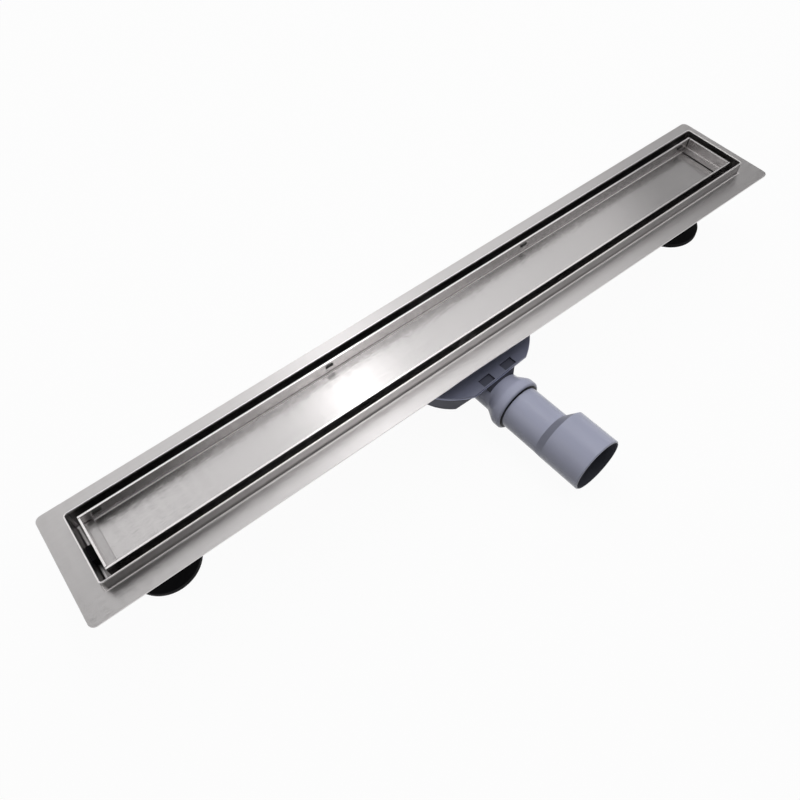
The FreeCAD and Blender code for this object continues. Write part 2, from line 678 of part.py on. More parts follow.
def make_lid():
    """Flat-fronted lid of the trap, with its throat and screw bosses."""
    body = trap_body("trap_lid")
    drawing = sketch_on(body, "lid_outline", "XY_Plane", LID_UNDER)
    flat_sided(drawing, "lid_radius", "lid_front", "lid_back")
    lid = pad(body, "lid", drawing, "lid_thickness")
    top = number(LID_TOP)
    fillet(body, "lid_edge", lid, lambda edge: spans(edge, up=(top, top)), "lid_round")
    drawing = sketch_on(body, "throat_outline", "XY_Plane", LID_UNDER)
    circle(drawing, f"({THROAT_BORE} + 2 * throat_wall)")
    pad(body, "throat", drawing, "throat_depth + ledge_height - lid_thickness", backwards=True)
    drawing = sketch_on(body, "boss_outlines", "XY_Plane", LID_UNDER)
    circles_round(drawing, "boss_diameter", SCREW_CIRCLE, "screw_count", SCREW_ANGLE)
    pad(body, "bosses", drawing, f"{SCREW_REACH} + screw_diameter / 2 + boss_floor - lid_thickness",
        backwards=True)
    drawing = sketch_on(body, "throat_bore_outline", "XY_Plane", LID_TOP)
    circle(drawing, THROAT_BORE)
    pocket(body, "throat_hole", drawing, "throat_depth")
    drawing = sketch_on(body, "ledge_outline", "XY_Plane", LID_TOP)
    circle(drawing, LEDGE_BORE)
    pocket(body, "ledge_hole", drawing, "throat_depth + 2 * ledge_height")
    drawing = sketch_on(body, "pilot_outlines", "XY_Plane", LID_TOP)
    circles_round(drawing, "screw_diameter", SCREW_CIRCLE, "screw_count", SCREW_ANGLE)
    pocket(body, "pilot_holes", drawing, f"{SCREW_REACH} + screw_diameter / 2")
    drawing = sketch_on(body, "pocket_outlines", "XY_Plane", LID_TOP)
    middle = "(pocket_margin + pocket_length / 2 - lid_front)"
    for side in ("-", ""):
        rectangle(drawing, "pocket_width", "pocket_length", f"{side}pocket_spacing / 2", middle)
    pocket(body, "front_pockets", drawing, "pocket_depth")


def make_bowl():
    """Tapered bowl of the trap with its outlet stub and bell socket."""
    body = trap_body("trap_bowl")
    mouth = sketch_on(body, "mouth_outline", "XY_Plane", LID_UNDER)
    flat_sided(mouth, MOUTH_RADIUS, MOUTH_FRONT, MOUTH_BACK)
    base = sketch_on(body, "base_outline", "XY_Plane", BOWL_BASE)
    flat_sided(base, f"({MOUTH_RADIUS} - bowl_taper)", f"({MOUTH_FRONT} - bowl_flat_taper)",
               f"({MOUTH_BACK} - bowl_flat_taper)")
    outside = loft(body, "bowl_outside", [mouth, base])
    level = number(BOWL_BASE)
    fillet(body, "bowl_base_round", outside, lambda edge: spans(edge, up=(level, level)), "bowl_round")

    axis_up = "-outlet_depth"
    stub = "(stub_diameter / 2)"
    bell = f"({BELL_DIAMETER} / 2)"
    drawing = sketch_on(body, "stub_section", "YZ_Plane", "outlet_across", axis_up)
    outline(drawing, [(f"-({MOUTH_FRONT} - bowl_flat_taper) + bowl_wall", "0"),
                      (f"-({MOUTH_FRONT} - bowl_flat_taper) + bowl_wall", stub), ("-bell_start", stub),
                      ("-bell_start - bell_cone", bell), ("-bell_face", bell), ("-bell_face", "0")])
    turned(body, "stub", drawing, "H_Axis")
    drawing = sketch_on(body, "housing_outline", "XY_Plane", LID_UNDER)
    rectangle(drawing, "housing_width", "housing_depth", "outlet_across", "(housing_depth / 2 - lid_front)")
    shape = pad(body, "housing", drawing, f"outlet_depth + {LID_UNDER}", backwards=True)
    radius = number(bell)
    for name, size, place, amount in (("bell_root", number(stub), "bell_start", "bell_shoulder"),
                                      ("bell_brow", radius, "bell_start + bell_cone", "bell_shoulder"),
                                      ("bell_edge", radius, "bell_face", "bell_round")):
        at = number(place)
        shape = fillet(body, name, shape, lambda edge: round_on_pipe(edge, size, at), amount)

    inner_mouth = sketch_on(body, "inner_mouth_outline", "XY_Plane", LID_UNDER)
    flat_sided(inner_mouth, f"({MOUTH_RADIUS} - bowl_wall)", f"({MOUTH_FRONT} - bowl_wall)",
               f"({MOUTH_BACK} - bowl_wall)")
    inner_base = sketch_on(body, "inner_base_outline", "XY_Plane", f"{BOWL_BASE} + bowl_wall")
    flat_sided(inner_base, f"({MOUTH_RADIUS} - bowl_taper - bowl_wall)",
               f"({MOUTH_FRONT} - bowl_flat_taper - bowl_wall)",
               f"({MOUTH_BACK} - bowl_flat_taper - bowl_wall)")
    loft(body, "bowl_inside", [inner_mouth, inner_base], cut=True)

    bore = f"({stub} - stub_wall)"
    socket = f"({SOCKET_BORE} / 2)"
    drawing = sketch_on(body, "bore_section", "YZ_Plane", "outlet_across", axis_up)
    start = f"-({MOUTH_FRONT} - bowl_flat_taper) + bore_reach"
    outline(drawing, [(start, "0"), (start, bore), (f"-{SOCKET_STOP} + stub_wall", bore),
                      (f"-{SOCKET_STOP}", f"{bore} + stub_wall"), (f"-{SOCKET_STOP}", socket),
                      ("-bell_face - bell_wall", socket), ("-bell_face - bell_wall", "0")])
    turned(body, "outlet_bore", drawing, "H_Axis", cut=True)


def make_socket_seal():
    """Rubber lip seal on the socket's face, round the adapter."""
    body = trap_body("socket_seal")
    drawing = sketch_on(body, "seal_section", "YZ_Plane", "outlet_across", "-outlet_depth")
    inner = "(neck_diameter / 2 + seal_play)"
    outer = f"({SOCKET_BORE} / 2 + seal_lip)"
    outline(drawing, [("-bell_face", inner), ("-bell_face", outer),
                      ("-bell_face - seal_thickness / 2", outer), ("-bell_face - seal_thickness", inner)])
    turned(body, "seal", drawing, "H_Axis")


def make_adapter():
    """Eccentric adapter pipe, whose larger end enters the house drain."""
    body = trap_body("adapter_pipe")
    axis_up = "-outlet_depth"
    start = f"({SOCKET_STOP} + neck_stop_gap)"
    cone_end = "(neck_end + reducer_length)"
    spigot_across = f"(outlet_across + {REDUCER_OFFSET})"

    def ring(name, out, diameter, across="outlet_across"):
        drawing = sketch_on(body, name, "XZ_Plane", out, axis_up)
        circle(drawing, diameter, across)
        return drawing

    neck_bore = "(neck_diameter - 2 * neck_wall)"
    spigot_bore = "(spigot_diameter - 2 * spigot_wall)"
    pad(body, "neck", ring("neck_outline", start, "neck_diameter"), f"neck_end - {start}")
    loft(body, "reducer", [ring("reducer_start", "neck_end", "neck_diameter"),
                           ring("reducer_end", cone_end, "spigot_diameter", spigot_across)])
    spigot = pad(body, "spigot", ring("spigot_outline", cone_end, "spigot_diameter", spigot_across),
                 f"spigot_end - {cone_end}")
    face = -number("spigot_end")
    bevel(body, "spigot_bevel_line", spigot, lambda edge: spans(edge, along=(face, face)), "spigot_bevel")
    pocket(body, "neck_bore_hole", ring("neck_bore_outline", start, neck_bore), f"neck_end - {start}",
           backwards=True)
    loft(body, "reducer_bore", [ring("reducer_bore_start", "neck_end", neck_bore),
                                ring("reducer_bore_end", cone_end, spigot_bore, spigot_across)], cut=True)
    pocket(body, "spigot_bore_hole", ring("spigot_bore_outline", cone_end, spigot_bore, spigot_across),
           f"spigot_end - {cone_end}", backwards=True)


def make_cup():
    """Removable water-seal cup, with windows below its collar."""
    body = trap_body("trap_cup")
    collar = f"({CUP_COLLAR} / 2)"
    side = f"({CUP_DIAMETER} / 2)"
    bore = f"({CUP_BORE} / 2)"
    base = f"({CUP_TOP} - cup_depth)"
    groove = f"({THROAT_BORE} / 2 - o_ring_section - o_ring_play)"
    half = "((o_ring_section + o_ring_slack) / 2)"
    groove_low = f"({O_RING_LEVEL} - {half})"
    groove_high = f"({O_RING_LEVEL} + {half})"
    drawing = sketch_on(body, "cup_section", "XZ_Plane")
    outline(drawing, [("0", base), (side, base), (side, LEDGE), (collar, LEDGE), (collar, groove_low),
                      (groove, groove_low), (groove, groove_high), (collar, groove_high), (collar, CUP_TOP),
                      (bore, CUP_TOP), (bore, f"{base} + cup_wall"), ("0", f"{base} + cup_wall")])
    turned(body, "cup", drawing)
    drawing = sketch_on(body, "window_outline", "XZ_Plane")
    middle = f"({LEDGE} - ledge_height - window_drop - window_height / 2)"
    rectangle(drawing, "window_width", "window_height", "0", middle)
    window = pocket(body, "window", drawing, LEDGE_BORE, backwards=True)
    pattern = body.newObject("PartDesign::PolarPattern", "windows")
    pattern.Originals = [window]
    pattern.Axis = (drawing, ["V_Axis"])
    pattern.Angle = 360
    bind(pattern, "Occurrences", "window_count")
    body.Tip = pattern
    doc.recompute()


def make_dip_tube():
    """Funnel and tube that lead the water down into the cup."""
    body = trap_body("dip_tube")
    rim = f"({CUP_COLLAR} / 2 - tube_rim_play + cup_collar_play)"
    outer = f"({TUBE_DIAMETER} / 2)"
    top = f"({CUP_TOP} + tube_wall)"
    throat = f"({CUP_BORE} / 2 - tube_rim_play / 4)"
    foot = f"({CUP_TOP} - cup_depth + cup_wall + tube_floor_gap)"
    drawing = sketch_on(body, "tube_section", "XZ_Plane")
    neck = f"({CUP_TOP} - tube_funnel)"
    outline(drawing, [(rim, top), (rim, CUP_TOP), (throat, CUP_TOP), (outer, neck), (outer, foot),
                      (f"{outer} - tube_wall", foot), (f"{outer} - tube_wall", neck),
                      (f"{throat} - tube_wall", top)])
    turned(body, "tube", drawing)


def make_o_ring():
    """Ring in the cup's groove that seals it in the throat."""
    body = trap_body("cup_o_ring")
    drawing = sketch_on(body, "o_ring_section", "XZ_Plane")
    middle = f"({THROAT_BORE} / 2 - (o_ring_section + o_ring_play) / 2)"
    circle(drawing, "o_ring_section", middle, O_RING_LEVEL)
    turned(body, "o_ring", drawing)


def make_strainer():
    """Perforated steel dish that hangs in the clamp ring."""
    body = trap_body("hair_strainer")
    seat = "(ring_thickness - trough_mid_depth)"
    side = f"({RING_BORE} / 2 - strainer_play)"
    rim = f"({RING_BORE} / 2 + strainer_rim)"
    hole_circle = f"({RING_BORE} - 2 * strainer_hole_inset)"
    drawing = sketch_on(body, "strainer_section", "XZ_Plane")
    low = f"({seat} - strainer_depth)"
    inner = f"({side} - strainer_sheet)"
    outline(drawing, [("0", low), (side, low), (side, seat), (rim, seat), (rim, f"{seat} + strainer_sheet"),
                      (inner, f"{seat} + strainer_sheet"), (inner, f"{low} + strainer_sheet"),
                      ("0", f"{low} + strainer_sheet")])
    turned(body, "strainer", drawing)
    drawing = sketch_on(body, "inner_hole_outlines", "XY_Plane", seat)
    circle(drawing, "strainer_hole")
    circles_round(drawing, "strainer_hole", f"({hole_circle} / 2)", "strainer_inner_holes")
    pocket(body, "inner_holes", drawing, "2 * strainer_depth")
    drawing = sketch_on(body, "outer_hole_outline", "XY_Plane", seat)
    circle(drawing, "strainer_hole", f"{hole_circle} / 2")
    hole = pocket(body, "outer_hole", drawing, "2 * strainer_depth")
    pattern = body.newObject("PartDesign::PolarPattern", "outer_holes")
    pattern.Originals = [hole]
    pattern.Axis = (drawing, ["N_Axis"])
    pattern.Angle = 360
    bind(pattern, "Occurrences", "strainer_outer_holes")
    body.Tip = pattern
    doc.recompute()


def make_foot_pad(name, side):
    """Rubber pad of an adjustable foot, with a blind seat for the rod."""
    body = new_body(name, f"{side}{FOOT_PLACE}")
    edge = "(foot_diameter / 2)"
    hub = "(foot_hub / 2)"
    top = f"({FOOT_BASE} + foot_height)"
    slope = f"({FOOT_BASE} + 2 * foot_edge)"
    seat = f"({FOOT_BASE} + rod_cover)"
    drawing = sketch_on(body, "pad_section", "XZ_Plane")
    rod = "(rod_diameter / 2 + rod_play)"
    outline(drawing, [("0", FOOT_BASE), (edge, FOOT_BASE), (edge, f"{FOOT_BASE} + foot_edge"),
                      ("foot_shoulder / 2", slope), (hub, slope), (hub, top), (rod, top), (rod, seat),
                      ("0", seat)])
    feature = turned(body, "pad", drawing)
    radius = number(edge)
    level = number(f"{FOOT_BASE} + foot_edge")
    fillet(body, "pad_edge", feature, lambda line: round_at(line, radius, level), "foot_round")


def make_foot_rod(name, side):
    """Threaded rod between the pad and the channel."""
    body = new_body(name, f"{side}{FOOT_PLACE}")
    drawing = sketch_on(body, "rod_section", "XZ_Plane")
    radius = "(rod_diameter / 2)"
    low = f"({FOOT_BASE} + rod_cover)"
    high = f"({SEAT_UNDER_FOOT} - rod_tip_gap)"
    outline(drawing, [("0", low), (f"{radius} - rod_point", low), (radius, f"{low} + rod_point"),
                      (radius, f"{high} - rod_point"), (f"{radius} - rod_point", high), ("0", high)])
    turned(body, "rod", drawing)


def make_nut(name, side, top):
    """Hexagonal nut on a foot's rod, with its top face at a level."""
    body = new_body(name, f"{side}{FOOT_PLACE}")
    drawing = sketch_on(body, "nut_outline", "XY_Plane", top)
    corners = [step * 60 for step in range(6)]
    outline(drawing, [(f"{NUT_REACH} * cos({turn})", f"{NUT_REACH} * sin({turn})") for turn in corners])
    circle(drawing, "rod_diameter + 2 * rod_play")
    pad(body, "nut", drawing, "nut_height", backwards=True)
    drawing = sketch_on(body, "nut_bevel_section", "XZ_Plane")
    low = f"({top} - nut_height)"
    edge = f"({NUT_REACH} - nut_bevel)"
    outside = f"({NUT_REACH} + nut_bevel)"
    outline(drawing, [(edge, low), (outside, f"{low} + nut_bevel"), (outside, f"{low} - nut_bevel"),
                      (edge, f"{low} - nut_bevel")])
    turned(body, "nut_bevel", drawing, cut=True)


def check_features():
    """Stop if a feature failed, a cut took nothing away or a sub-part isn't whole."""
    for thing in doc.Objects:
        if {"Invalid", "Error"} & set(thing.State):
            raise RuntimeError(f"{thing.Name} failed: {thing.State}")
    for body in doc.findObjects("PartDesign::Body"):
        volume = 0
        for feature in body.Group:
            if feature.isDerivedFrom("Part::Part2DObject"):
                continue
            cuts = feature.TypeId.split("::")[1] in ("Pocket", "Groove", "Hole", "SubtractiveLoft")
            if cuts and feature.Shape.Volume > volume - 0.01:
                raise RuntimeError(f"{body.Label}: {feature.Label} cuts nothing away")
            volume = feature.Shape.Volume
    for part in bodies:
        if part.Shape.isNull() or not part.Shape.isValid() or not part.Shape.Solids:
            raise RuntimeError(f"{part.Label} has no valid shape")


make_channel()
make_tray()
for place, side in (("left", "-"), ("right", "")):
    make_tray_end(f"tray_end_{place}", side)
    make_spacer(f"tray_spacer_{place}", side)
    make_support(f"tray_support_{place}", side)
make_clamp_ring()
make_clamp_screws()
make_gasket()
make_lid()
make_bowl()
make_socket_seal()
make_adapter()
make_cup()
make_dip_tube()
make_o_ring()
make_strainer()
for place, side in (("left", "-"), ("right", "")):
    make_foot_pad(f"foot_pad_{place}", side)
    make_foot_rod(f"foot_rod_{place}", side)
    make_nut(f"foot_boss_{place}", side, SEAT_UNDER_FOOT)
    make_nut(f"foot_nut_{place}", side, f"({SEAT_UNDER_FOOT} - nut_height)")

doc.recompute()
check_features()
os.makedirs("parts", exist_ok=True)
for part in bodies:
    part.Shape.exportStep(f"parts/{part.Label}.step")
    box = part.Shape.BoundBox
    print(f"{part.Label}: {len(part.Shape.Solids)} solid, {part.Shape.Volume:.0f} mm3, "
          f"z {box.ZMin:.2f} to {box.ZMax:.2f}")
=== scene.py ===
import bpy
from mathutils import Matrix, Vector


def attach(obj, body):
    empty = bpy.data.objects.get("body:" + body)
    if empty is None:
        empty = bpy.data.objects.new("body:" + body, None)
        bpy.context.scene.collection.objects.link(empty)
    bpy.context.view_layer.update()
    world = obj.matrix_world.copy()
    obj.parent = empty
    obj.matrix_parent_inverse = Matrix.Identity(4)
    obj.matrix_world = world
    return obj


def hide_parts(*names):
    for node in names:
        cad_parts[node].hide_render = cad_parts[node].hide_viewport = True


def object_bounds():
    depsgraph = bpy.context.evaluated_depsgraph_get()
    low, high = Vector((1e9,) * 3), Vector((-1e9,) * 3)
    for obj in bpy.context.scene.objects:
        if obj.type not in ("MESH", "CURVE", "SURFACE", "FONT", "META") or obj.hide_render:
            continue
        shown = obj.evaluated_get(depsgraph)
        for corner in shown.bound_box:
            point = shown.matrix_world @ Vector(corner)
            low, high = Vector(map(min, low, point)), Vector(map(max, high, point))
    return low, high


bl_info = {
    "name": "Linear shower drain",
    "version": (1, 0, 0),
    "blender": (4, 5, 0),
    "location": "View3D > Sidebar > Drain",
    "description": "Finishes and small pieces of a steel shower channel with its trap and feet, and its studio",
    "category": "Object",
}

import math

import bpy
from bpy.props import FloatProperty, FloatVectorProperty, IntProperty, PointerProperty
from mathutils import Matrix, Vector

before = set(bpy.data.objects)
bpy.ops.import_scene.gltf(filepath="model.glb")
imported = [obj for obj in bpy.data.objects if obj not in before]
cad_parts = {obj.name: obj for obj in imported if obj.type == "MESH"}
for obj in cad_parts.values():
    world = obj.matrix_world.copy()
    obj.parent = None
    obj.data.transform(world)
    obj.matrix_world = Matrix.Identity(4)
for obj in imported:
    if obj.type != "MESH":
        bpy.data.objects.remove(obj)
CAD_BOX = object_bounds()


def box_of(name):
    """The low and high corners of a CAD node."""
    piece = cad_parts[name]
    corners = [piece.matrix_world @ Vector(corner) for corner in piece.bound_box]
    return [[pick(corner[axis] for corner in corners) for axis in range(3)] for pick in (min, max)]


# CAD nodes by their finish
STEEL_SHEET = ("channel_body",)
STEEL_TRAY = ("tile_tray", "tray_end_left", "tray_end_right")
STEEL_FITTING = ("clamp_ring", "hair_strainer", "tray_support_left", "tray_support_right")
ZINC = ("clamp_screws", "foot_boss_left", "foot_boss_right", "foot_nut_left", "foot_nut_right",
        "foot_rod_left", "foot_rod_right")
LID_PLASTIC = ("trap_lid",)
TRAP_PLASTIC = ("trap_bowl",)
PIPE_PLASTIC = ("adapter_pipe",)
INSERT_PLASTIC = ("trap_cup", "dip_tube")
SEAL_RUBBER = ("socket_seal", "outlet_gasket", "cup_o_ring")
FOOT_RUBBER = ("foot_pad_left", "foot_pad_right", "tray_spacer_left", "tray_spacer_right")
SIDES = ("left", "right")

# Channel: outer face of the raised frame from the middle of the drain, its sheet and its upper edge
FRAME_HALF_LENGTH = 0.330
FRAME_HALF_WIDTH = 0.0325
FRAME_SHEET = 0.0012
FRAME_TOP = CAD_BOX[1][2]

# Tray: its inner faces and the foot of its end walls from the middle of the drain, and the painted shade line over its
# fold
TRAY_SHEET = 0.0015
TRAY_FOLD = 0.0005
PAINTED_SHADE_LINE = 0.0010
END_LIFT = 0.0008
TRAY_LOW, TRAY_HIGH = box_of("tile_tray")
TRAY_FLOOR = TRAY_LOW[2] + TRAY_SHEET
TRAY_WALL = TRAY_HIGH[1] - TRAY_SHEET
END_WALL = TRAY_HIGH[0] - TRAY_SHEET
END_FOOT = box_of("tray_end_right")[0][0]
FOOT_TOP = TRAY_FLOOR + END_LIFT + TRAY_SHEET

# Half the thickness of the layer that counts as a face, and how far a zone reaches past the face where it ends
FACE_LAYER = 0.00015
PAST_FACE = 0.0003

# Lanced slots of the tray: places along it, half length and height
SLOT_NEAR = 0.105
SLOT_INSET = 0.013
SLOT_FAR = TRAY_HIGH[0] - SLOT_INSET
SLOT_HALF_LENGTH = 0.0037
SLOT_LOW = 0.0052
SLOT_HIGH = 0.0085
HOOD_FACE = TRAY_WALL - 0.00165

# Trap: its outlet, turned about the drain's upright, and places along and beside the outlet
OUTLET_TURN = math.radians(4)
OUTLET_SHIFT = 0.003
OUTLET_LEVEL = -0.042
NECK_ASIDE = 0.0020
SPIGOT_ASIDE = 0.0072
NECK_BORE = 0.0188
SPIGOT_BORE = 0.0239
STUB_RADIUS = 0.0190
STUB_ROOT = 0.0305
STUB_END = 0.0615
REDUCER_START = 0.1178
REDUCER_END = 0.1242
SPIGOT_START = 0.1245
LID_TOP = box_of("trap_lid")[1][2]
POCKET_ASIDE = (0.0058, 0.0187)
POCKET_ALONG = (0.0512, 0.0591)

# Streaks in a metre of brushed steel, along the grain and across it
GRAIN_ALONG = 100
GRAIN_ACROSS = 20000

# Thread of the foot rods: parts of a turn's profile, steps of a flank and steps of a turn
THREAD_PARTS = 8
FLANK_STEPS = 3
TURN_STEPS = 28

# Weld beads: sides of the bead, and how far each ring of a ripple stands out, as a share of the bead's size
BEAD_SIDES = 12
RIPPLE_RISES = (0.05, 0.10, 0.14, 0.16, 0.12)

# Softboxes over the drain: name, place, length along the drain, width and brightness
LAMPS = (("back", (0.18, 1.42, 1.79), 2.4, 1.9, 0.90),
         ("strip low", (0.50, 1.77, 1.38), 0.22, 0.95, 1.2),
         ("strip back", (0.50, 0.95, 2.04), 0.22, 0.95, 2.3),
         ("strip top", (0.50, -0.08, 2.24), 0.22, 0.95, 1.9),
         ("strip front", (0.50, -1.06, 1.98), 0.22, 0.95, 2.3),
         ("overhead", (0.50, -0.08, 2.24), 1.3, 0.95, 2.2),
         ("front", (0.51, -1.05, 1.98), 1.3, 0.95, 0.9),
         ("right back", (1.43, 1.12, 1.41), 0.5, 1.9, 0.75),
         ("right far", (1.84, 1.09, 0.85), 0.5, 0.95, 0.55),
         ("right top", (1.43, -0.06, 1.80), 0.5, 0.95, 0.8),
         ("right side", (2.07, 0.0, 1.0), 1.2, 2.0, 0.18),
         ("right front", (1.43, -1.48, 1.04), 0.5, 0.95, 0.7),
         ("left", (-1.95, 0.61, 1.05), 1.2, 1.2, 0.8),
         ("left top", (-1.75, -0.10, 1.50), 1.4, 1.8, 0.5))
WORLD_LEVEL = 0.05

# Floor and backdrop, and how much of their white shows to the camera and in reflections
FLOOR_SIZE = 24
FLOOR_GREY = 0.92
BACKDROP_RADIUS = 10
BACKDROP_HEIGHT = 3.2
WHITE_SEEN = 0.95

# Camera of the photograph
CAMERA_PLACE = Vector((-0.2504, -0.3020, 0.4834))
CAMERA_TARGET = Vector((-0.0780, -0.03492, 0.0))
CAMERA_ROLL = 0.0909
CAMERA_LENS = 33.03
CAMERA_SENSOR = 36


class Wire:
    """The output of a node, on which sums are written as they are on paper."""

    def __init__(self, finish, socket):
        self.finish = finish
        self.socket = socket

    def sum_of(self, operation, *values):
        """A sum of values, by the name of its operation."""
        return self.finish.node("ShaderNodeMath", {"operation": operation}, dict(enumerate(values)))

    def __add__(self, other):
        return self.sum_of("ADD", self, other)

    def __sub__(self, other):
        return self.sum_of("SUBTRACT", self, other)

    def __rsub__(self, other):
        return self.sum_of("SUBTRACT", other, self)

    def __mul__(self, other):
        return self.sum_of("MULTIPLY", self, other)

    __radd__ = __add__
    __rmul__ = __mul__

    def __abs__(self):
        return self.sum_of("ABSOLUTE", self)

    def larger(self, other):
        """The larger of two values."""
        return self.sum_of("MAXIMUM", self, other)


class Finish:
    """One material, with the method that adds every node to it."""

    def __init__(self, name, **shader_values):
        self.material = bpy.data.materials.new(name)
        self.material.use_nodes = True
        self.tree = self.material.node_tree
        self.shader = self.tree.nodes["Principled BSDF"]
        for socket, value in shader_values.items():
            self.shader.inputs[socket.replace("_", " ")].default_value = value

    def node(self, kind, settings, sockets, out=0):
        """Add a node with its settings, then the values or links of its sockets."""
        node = self.tree.nodes.new(kind)
        for setting, value in settings.items():
            setattr(node, setting, value)
        for socket, value in sockets.items():
            self.plug(node.inputs[socket], value)
        return Wire(self, node.outputs[out])

    def plug(self, socket, value):
        """Link a wire to a socket, or write a plain value on it."""
        if isinstance(value, Wire):
            self.tree.links.new(value.socket, socket)
        else:
            socket.default_value = value

    def set(self, socket, value):
        """Set one socket of the shader."""
        self.plug(self.shader.inputs[socket], value)

    def place(self):
        """The place of a point on its piece."""
        return self.node("ShaderNodeTexCoord", {}, {}, out="Object")

    def normal(self):
        """The way that the surface faces."""
        return self.node("ShaderNodeNewGeometry", {}, {}, out="Normal")

    def part(self, vector, axis):
        """One part of a place or a direction."""
        return self.node("ShaderNodeSeparateXYZ", {}, {0: vector}, out=axis)

    def scaled(self, vector, scale):
        """A place stretched by a scale along each axis."""
        return self.node("ShaderNodeMapping", {}, {"Vector": vector, "Scale": scale})

    def noise(self, vector, scale=1.0, detail=2, roughness=0.5):
        """Soft noise between zero and one."""
        sockets = {"Vector": vector, "Scale": scale, "Detail": detail, "Roughness": roughness}
        return self.node("ShaderNodeTexNoise", {}, sockets)

    def spread(self, value, low, high, to_low=0, to_high=1):
        """Stretch a value from one range to another and hold it there."""
        sockets = {"Value": value, "From Min": low, "From Max": high, "To Min": to_low, "To Max": to_high}
        return self.node("ShaderNodeMapRange", {"clamp": True}, sockets)

    def above(self, value, level, edge=0.0001):
        """A mask that is one where a value lies over a level."""
        return self.spread(value, level - edge, level + edge)

    def below(self, value, level, edge=0.0001):
        """A mask that is one where a value lies under a level."""
        return self.spread(value, level - edge, level + edge, 1, 0)

    def between(self, value, low, high, edge=0.0001):
        """A mask that is one where a value lies in a range."""
        return self.above(value, low, edge) * self.below(value, high, edge)

    def blend(self, mask, first, second):
        """Mix two colours by a mask."""
        return self.node("ShaderNodeMix", {"data_type": "RGBA"}, {0: mask, 6: first, 7: second}, out=2)

    def vectors(self, mask, first, second):
        """Mix two places by a mask."""
        return self.node("ShaderNodeMix", {"data_type": "VECTOR"}, {0: mask, 4: first, 5: second}, out=1)

    def vector_sum(self, operation, *vectors):
        """A sum of vectors, by the name of its operation."""
        return self.node("ShaderNodeVectorMath", {"operation": operation}, dict(enumerate(vectors)))

    def bump(self, height, strength, distance, under=None):
        """Fine relief from a height, laid over a coarser one."""
        sockets = {"Height": height, "Strength": strength, "Distance": distance}
        if under is not None:
            sockets["Normal"] = under
        return self.node("ShaderNodeBump", {}, sockets)

    def colour_zones(self, place, colour, tone, gloss, zones):
        """Set colour and roughness, changed in each zone by its share of the colour and its added roughness."""
        for zone, level, matt in zones:
            mask = zone(self, place)
            tone = self.blend(mask, tone, shade(colour, level))
            gloss = gloss + mask * matt
        self.set("Base Color", tone)
        self.set("Roughness", gloss)

    def onto(self, nodes):
        """Give the finish to CAD nodes, in place of what they have."""
        for name in nodes:
            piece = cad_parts[name]
            piece.data.materials.clear()
            piece.data.materials.append(self.material)


class DrainSizes(bpy.types.PropertyGroup):
    """Sizes of the pieces that are modelled here."""

    thread_pitch: FloatProperty(name="Thread pitch", description="Rise of one turn of the foot rods' thread",
                                default=0.00125, unit="LENGTH")
    thread_depth: FloatProperty(name="Thread depth", description="Depth of the foot rods' thread",
                                default=0.00068, unit="LENGTH")
    weld_size: FloatProperty(name="Weld size", description="Thickness of the beads round the weld nuts",
                             default=0.0014, unit="LENGTH")
    weld_ripples: IntProperty(name="Weld ripples", description="Ripples in the bead round one weld nut",
                              default=20)


class DrainColours(bpy.types.PropertyGroup):
    """Colours of the finishes."""

    steel: FloatVectorProperty(name="Steel", description="Colour of the brushed stainless steel",
                               default=(0.625, 0.606, 0.604), subtype="COLOR")
    zinc: FloatVectorProperty(name="Zinc", description="Colour of the zinc-plated fasteners",
                              default=(0.66, 0.68, 0.71), subtype="COLOR")
    # The lid's colour is written darker than the trap's, though both are one plastic: painted shade from the flange
    # over the lid.
    lid: FloatVectorProperty(name="Lid", description="Colour of the trap's blue-grey lid",
                             default=(0.225, 0.238, 0.33), subtype="COLOR")
    # The trap's and the pipe's colours are written lighter than their plastics' own: painted light that makes up for
    # the low lamps.
    trap: FloatVectorProperty(name="Trap", description="Colour of the trap's stub and socket",
                              default=(0.575, 0.595, 0.755), subtype="COLOR")
    pipe: FloatVectorProperty(name="Pipe", description="Colour of the adapter pipe's plastic",
                              default=(0.545, 0.565, 0.72), subtype="COLOR")
    insert: FloatVectorProperty(name="Insert", description="Colour of the cup and the dip tube",
                                default=(0.62, 0.63, 0.65), subtype="COLOR")
    rubber: FloatVectorProperty(name="Rubber", description="Colour of pads, spacers and seals",
                                default=(0.004, 0.004, 0.0048), subtype="COLOR")


def shade(colour, level=1):
    """An opaque colour, made darker or lighter by a level."""
    return (*(part * level for part in colour), 1)


def brushed(name, colour, roughness, tilt, zones=()):
    """Brushed stainless steel, whose fine grain along the sheet spreads reflections across it."""
    finish = Finish(name, Metallic=1.0)
    place = finish.place()
    normal = finish.normal()
    is_end = finish.spread(abs(finish.part(normal, "X")), 0.6, 0.8)
    along = finish.scaled(place, (GRAIN_ALONG, GRAIN_ACROSS, GRAIN_ACROSS))
    across = finish.scaled(place, (GRAIN_ACROSS, GRAIN_ALONG, GRAIN_ACROSS))
    fine = finish.noise(finish.vectors(is_end, along, across), detail=3, roughness=0.6)
    broad = finish.noise(finish.scaled(place, (4, 300, 300)), detail=3, roughness=0.6)
    clouds = finish.noise(place, scale=9)
    streaks = finish.spread(broad * 0.6 + clouds * 0.4, 0.35, 0.65)
    tone = finish.blend(streaks, shade(colour, 0.985), shade(colour, 1.015))
    gloss = finish.spread(broad * 0.5 + clouds * 0.5, 0.3, 0.7, roughness - 0.01, roughness + 0.01)
    finish.colour_zones(place, colour, tone, gloss, zones)
    grain_way = finish.vectors(is_end, (1, 0, 0), (0, 1, 0))
    side = finish.vector_sum("CROSS_PRODUCT", normal, grain_way)
    bend = finish.node("ShaderNodeVectorMath", {"operation": "SCALE"}, {0: side, "Scale": (fine - 0.5) * tilt})
    finish.set("Normal", finish.vector_sum("NORMALIZE", finish.vector_sum("ADD", normal, bend)))
    return finish


